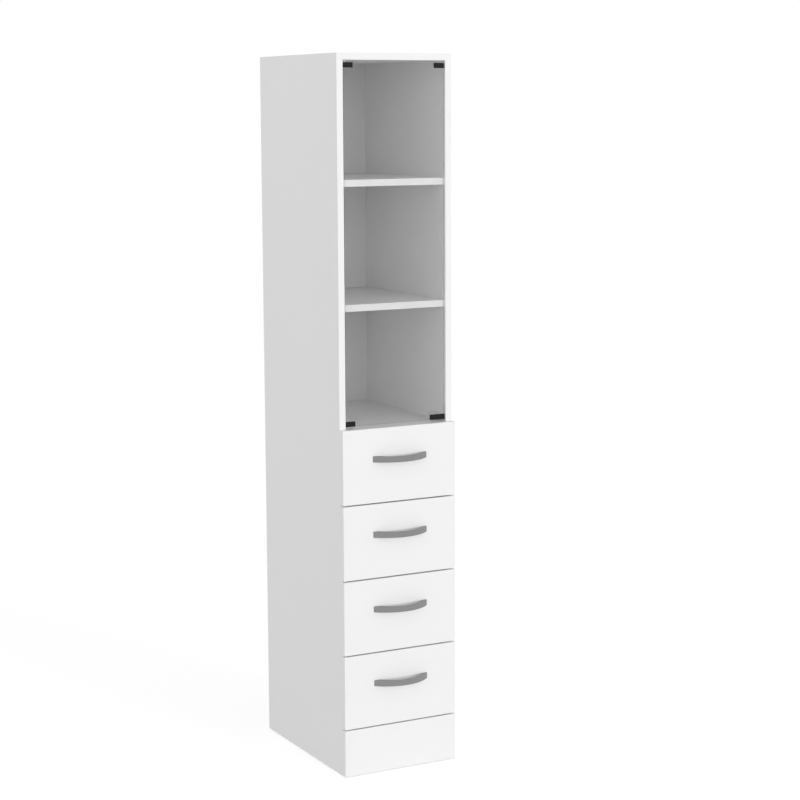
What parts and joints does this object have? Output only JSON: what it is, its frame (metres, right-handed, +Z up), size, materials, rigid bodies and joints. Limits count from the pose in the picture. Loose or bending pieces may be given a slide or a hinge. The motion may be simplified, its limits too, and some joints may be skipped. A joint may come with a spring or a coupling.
{
  "type": "bathroom storage tower",
  "caption": "Tall narrow bathroom cabinet: glazed cupboard with two shelves over four bow-handled drawers, on a flush plinth.",
  "frame": {"origin": "on the floor under the middle of the overall width and depth, handles included", "axes": "+Z up, front facing -Y, +X to the right seen from the front"},
  "size_m": [0.3, 0.4716, 1.71],
  "materials": {
    "white_board": "smooth satin white melamine on chipboard, banded edges",
    "white_hardboard": "thin lacquered white hardboard",
    "box_board": "white foil-wrapped board",
    "door_glass": "clear toughened glass, ground edges",
    "black_metal": "satin black",
    "handle_metal": "matt grey metal",
    "nickel_steel": "nickel plated",
    "zinc": "bright zinc plated",
    "runner_enamel": "white epoxy enamel on sheet steel",
    "roller_nylon": "matt nylon",
    "latch_plastic": "matt light grey plastic",
    "glide_plastic": "matt plastic",
    "pin_plastic": "white plastic",
    "spring_steel": "spring wire"
  },
  "bodies": {
    "cabinet": {"side_panel_left": "white_board", "side_panel_right": "white_board", "top_panel": "white_board", "fixed_panel": "white_board", "bottom_panel": "white_board", "back_panel": "white_hardboard", "shelf_lower": "white_board", "shelf_upper": "white_board", "shelf_pins": "pin_plastic", "cam_fittings": "zinc", "wall_brackets": "zinc", "bracket_screws": "zinc", "plinth_front": "white_board", "plinth_frame": "white_board", "floor_glides": "glide_plastic", "hinge_pivots": "nickel_steel", "latch_housing": "latch_plastic", "cabinet_runners": "runner_enamel"},
    "door": {"glass_door": "door_glass", "hinge_clamps": "black_metal", "corner_clip": "black_metal", "strike_plate": "black_metal"},
    "latch": {"latch_plunger": "latch_plastic", "latch_spring": "spring_steel"},
    "drawer_1": {"drawer_1_front": "white_board", "drawer_1_sides": "box_board", "drawer_1_back": "box_board", "drawer_1_base": "white_hardboard", "drawer_1_handle": "handle_metal", "drawer_1_screws": "zinc", "drawer_1_rails": "runner_enamel"},
    "rear_rollers_1": {"drawer_1_rear_rollers": "roller_nylon"},
    "front_rollers_1": {"drawer_1_front_rollers": "roller_nylon"},
    "drawer_2": {"drawer_2_front": "white_board", "drawer_2_sides": "box_board", "drawer_2_back": "box_board", "drawer_2_base": "white_hardboard", "drawer_2_handle": "handle_metal", "drawer_2_screws": "zinc", "drawer_2_rails": "runner_enamel"},
    "rear_rollers_2": {"drawer_2_rear_rollers": "roller_nylon"},
    "front_rollers_2": {"drawer_2_front_rollers": "roller_nylon"},
    "drawer_3": {"drawer_3_front": "white_board", "drawer_3_sides": "box_board", "drawer_3_back": "box_board", "drawer_3_base": "white_hardboard", "drawer_3_handle": "handle_metal", "drawer_3_screws": "zinc", "drawer_3_rails": "runner_enamel"},
    "rear_rollers_3": {"drawer_3_rear_rollers": "roller_nylon"},
    "front_rollers_3": {"drawer_3_front_rollers": "roller_nylon"},
    "drawer_4": {"drawer_4_front": "white_board", "drawer_4_sides": "box_board", "drawer_4_back": "box_board", "drawer_4_base": "white_hardboard", "drawer_4_handle": "handle_metal", "drawer_4_screws": "zinc", "drawer_4_rails": "runner_enamel"},
    "rear_rollers_4": {"drawer_4_rear_rollers": "roller_nylon"},
    "front_rollers_4": {"drawer_4_front_rollers": "roller_nylon"}
  },
  "joints": [
    {"name": "door_swing", "type": "hinge", "parent": "cabinet", "child": "door", "pos_m": [-0.1285, -0.1858, 1.2665], "axis": [0, 0, -1], "range_deg": [0, 105]},
    {"name": "latch_press", "type": "slide", "parent": "cabinet", "child": "latch", "axis": [0, 1, 0], "range_m": [0, 0.0025], "stiffness_N_per_m": 300, "springref_m": -0.01},
    {"name": "drawer_1_slide", "type": "slide", "parent": "cabinet", "child": "drawer_1", "axis": [0, -1, 0], "range_m": [0, 0.3]},
    {"name": "rear_rollers_1_turn", "type": "hinge", "parent": "drawer_1", "child": "rear_rollers_1", "pos_m": [0, 0.1988, 0.693], "axis": [1, 0, 0], "range_deg": [0, 2149]},
    {"name": "front_rollers_1_turn", "type": "hinge", "parent": "cabinet", "child": "front_rollers_1", "pos_m": [0, -0.1752, 0.6948], "axis": [1, 0, 0], "range_deg": [0, 2149]},
    {"name": "drawer_2_slide", "type": "slide", "parent": "cabinet", "child": "drawer_2", "axis": [0, -1, 0], "range_m": [0, 0.3]},
    {"name": "rear_rollers_2_turn", "type": "hinge", "parent": "drawer_2", "child": "rear_rollers_2", "pos_m": [0, 0.1988, 0.512], "axis": [1, 0, 0], "range_deg": [0, 2149]},
    {"name": "front_rollers_2_turn", "type": "hinge", "parent": "cabinet", "child": "front_rollers_2", "pos_m": [0, -0.1752, 0.5138], "axis": [1, 0, 0], "range_deg": [0, 2149]},
    {"name": "drawer_3_slide", "type": "slide", "parent": "cabinet", "child": "drawer_3", "axis": [0, -1, 0], "range_m": [0, 0.3]},
    {"name": "rear_rollers_3_turn", "type": "hinge", "parent": "drawer_3", "child": "rear_rollers_3", "pos_m": [0, 0.1988, 0.331], "axis": [1, 0, 0], "range_deg": [0, 2149]},
    {"name": "front_rollers_3_turn", "type": "hinge", "parent": "cabinet", "child": "front_rollers_3", "pos_m": [0, -0.1752, 0.3328], "axis": [1, 0, 0], "range_deg": [0, 2149]},
    {"name": "drawer_4_slide", "type": "slide", "parent": "cabinet", "child": "drawer_4", "axis": [0, -1, 0], "range_m": [0, 0.3]},
    {"name": "rear_rollers_4_turn", "type": "hinge", "parent": "drawer_4", "child": "rear_rollers_4", "pos_m": [0, 0.1988, 0.15], "axis": [1, 0, 0], "range_deg": [0, 2149]},
    {"name": "front_rollers_4_turn", "type": "hinge", "parent": "cabinet", "child": "front_rollers_4", "pos_m": [0, -0.1752, 0.1518], "axis": [1, 0, 0], "range_deg": [0, 2149]}
  ],
  "couplings": [
    {"joint": "rear_rollers_1_turn", "follows": "drawer_1_slide", "rad_per_m": 125},
    {"joint": "front_rollers_1_turn", "follows": "drawer_1_slide", "rad_per_m": 125},
    {"joint": "rear_rollers_2_turn", "follows": "drawer_2_slide", "rad_per_m": 125},
    {"joint": "front_rollers_2_turn", "follows": "drawer_2_slide", "rad_per_m": 125},
    {"joint": "rear_rollers_3_turn", "follows": "drawer_3_slide", "rad_per_m": 125},
    {"joint": "front_rollers_3_turn", "follows": "drawer_3_slide", "rad_per_m": 125},
    {"joint": "rear_rollers_4_turn", "follows": "drawer_4_slide", "rad_per_m": 125},
    {"joint": "front_rollers_4_turn", "follows": "drawer_4_slide", "rad_per_m": 125}
  ]
}
